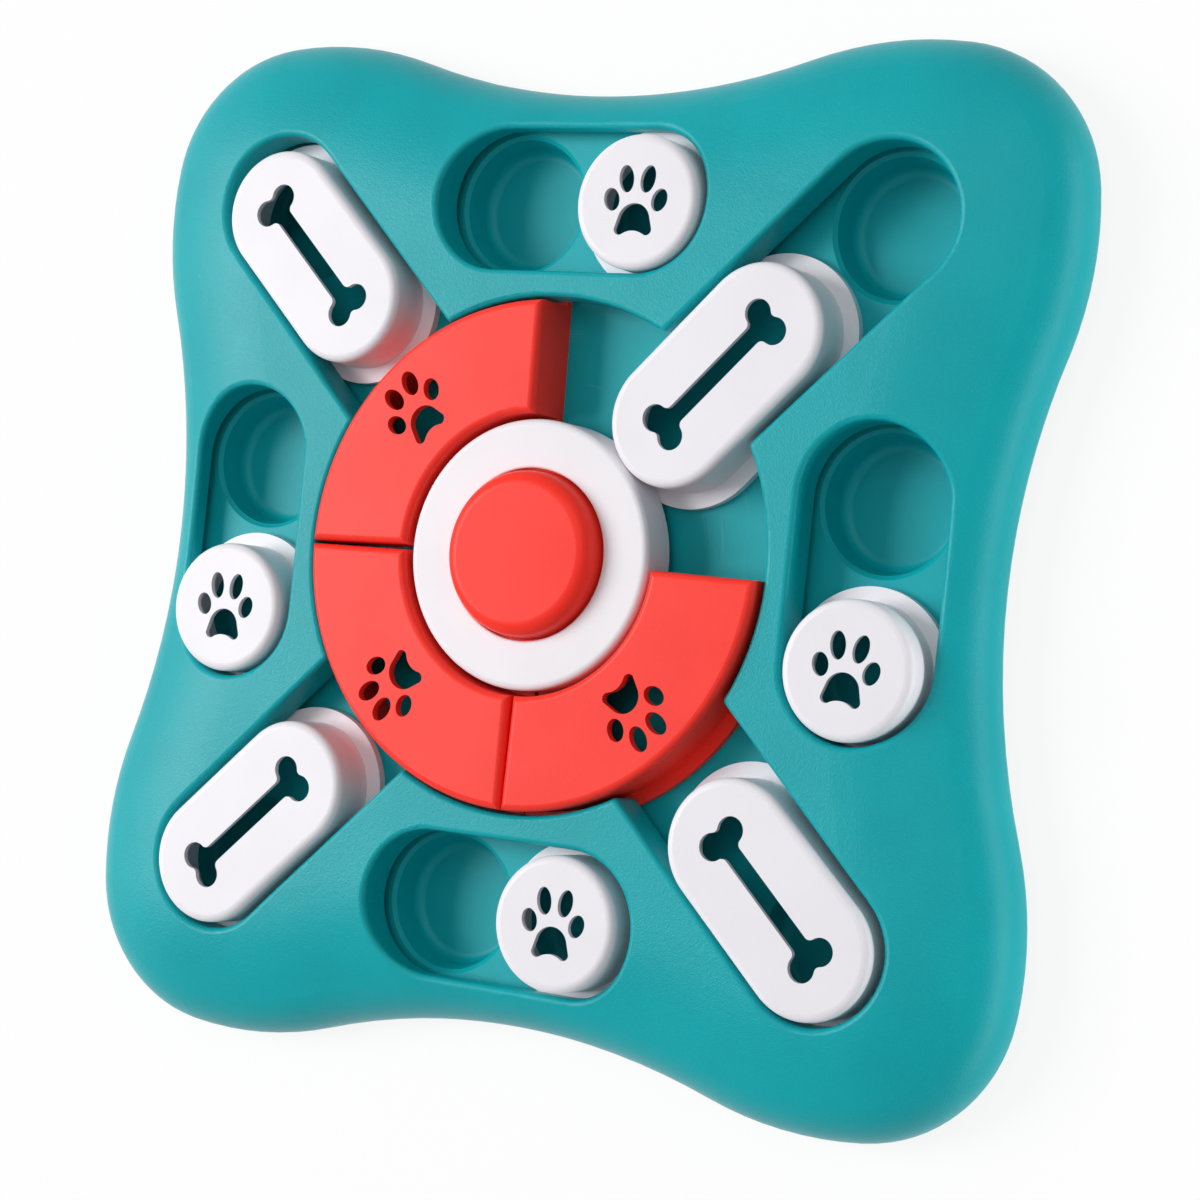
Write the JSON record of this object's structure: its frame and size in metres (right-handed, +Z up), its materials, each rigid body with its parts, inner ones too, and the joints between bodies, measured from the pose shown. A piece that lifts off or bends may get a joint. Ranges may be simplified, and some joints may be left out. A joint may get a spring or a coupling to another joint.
{
  "type": "dog puzzle feeder toy",
  "caption": "Square dog puzzle feeder with treat wells under round, oblong and quarter-round sliders about a raised ring with a squeaker button.",
  "frame": {"origin": "middle of the underside, at the bottom of the rubber feet", "axes": "+Z up out of the play face, +Y to the back, +X to the right"},
  "size_m": [0.2478, 0.2478, 0.0308],
  "materials": {
    "teal_plastic": "fine matte texture",
    "white_plastic": "satin",
    "red_plastic": "satin",
    "bulb_rubber": "soft",
    "reed_plastic": "satin",
    "screw_steel": "zinc plated",
    "foot_rubber": "matte"
  },
  "bodies": {
    "base": {"top_cover": "teal_plastic", "base_tray": "teal_plastic", "hub_ring": "white_plastic", "squeaker_bulb": "bulb_rubber", "squeaker_reed": "reed_plastic", "case_screws": "screw_steel", "hub_screws": "screw_steel", "foot_back_right": "foot_rubber", "foot_back_left": "foot_rubber", "foot_front_left": "foot_rubber", "foot_front_right": "foot_rubber"},
    "button": {"squeaker_button": "red_plastic"},
    "paw_right": {"paw_slider_right": "white_plastic"},
    "paw_back": {"paw_slider_back": "white_plastic"},
    "paw_left": {"paw_slider_left": "white_plastic"},
    "paw_front": {"paw_slider_front": "white_plastic"},
    "bone_back_right": {"bone_slider_back_right": "white_plastic"},
    "bone_back_left": {"bone_slider_back_left": "white_plastic"},
    "bone_front_left": {"bone_slider_front_left": "white_plastic"},
    "bone_front_right": {"bone_slider_front_right": "white_plastic"},
    "arc_back_left": {"arc_slider_back_left": "red_plastic"},
    "arc_front_left": {"arc_slider_front_left": "red_plastic"},
    "arc_front_right": {"arc_slider_front_right": "red_plastic"}
  },
  "joints": [
    {"name": "button_press", "type": "slide", "parent": "base", "child": "button", "axis": [0, 0, 1], "range_m": [-0.004, 0], "stiffness_N_per_m": 400, "springref_m": 0.001, "deforming": ["squeaker_bulb"]},
    {"name": "paw_right_slide", "type": "slide", "parent": "base", "child": "paw_right", "axis": [0, 1, 0], "range_m": [0, 0.0385]},
    {"name": "paw_back_slide", "type": "slide", "parent": "base", "child": "paw_back", "axis": [-1, 0, 0], "range_m": [0, 0.0385]},
    {"name": "paw_left_slide", "type": "slide", "parent": "base", "child": "paw_left", "axis": [0, 1, 0], "range_m": [-0.00005, 0.03845]},
    {"name": "paw_front_slide", "type": "slide", "parent": "base", "child": "paw_front", "axis": [-1, 0, 0], "range_m": [-0.00195, 0.03655]},
    {"name": "bone_back_right_slide", "type": "slide", "parent": "base", "child": "bone_back_right", "axis": [0.7071, 0.7071, 0], "range_m": [0, 0.0377]},
    {"name": "bone_back_left_slide", "type": "slide", "parent": "base", "child": "bone_back_left", "axis": [-0.7071, 0.7071, 0], "range_m": [0, 0.0029]},
    {"name": "bone_front_left_slide", "type": "slide", "parent": "base", "child": "bone_front_left", "axis": [0.7071, 0.7071, 0], "range_m": [0, 0.003]},
    {"name": "bone_front_right_slide", "type": "slide", "parent": "base", "child": "bone_front_right", "axis": [-0.7071, 0.7071, 0], "range_m": [0, 0.003]},
    {"name": "arc_front_left_turn", "type": "hinge", "parent": "base", "child": "arc_front_left", "pos_m": [0, 0, 0.012], "axis": [0, 0, 1], "range_deg": [-10.5, 10.5]},
    {"name": "arc_back_left_turn", "type": "hinge", "parent": "arc_front_left", "child": "arc_back_left", "pos_m": [0, 0, 0.012], "axis": [0, 0, 1], "range_deg": [-10.5, 0]},
    {"name": "arc_front_right_turn", "type": "hinge", "parent": "arc_front_left", "child": "arc_front_right", "pos_m": [0, 0, 0.012], "axis": [0, 0, 1], "range_deg": [0, 10.5]}
  ]
}
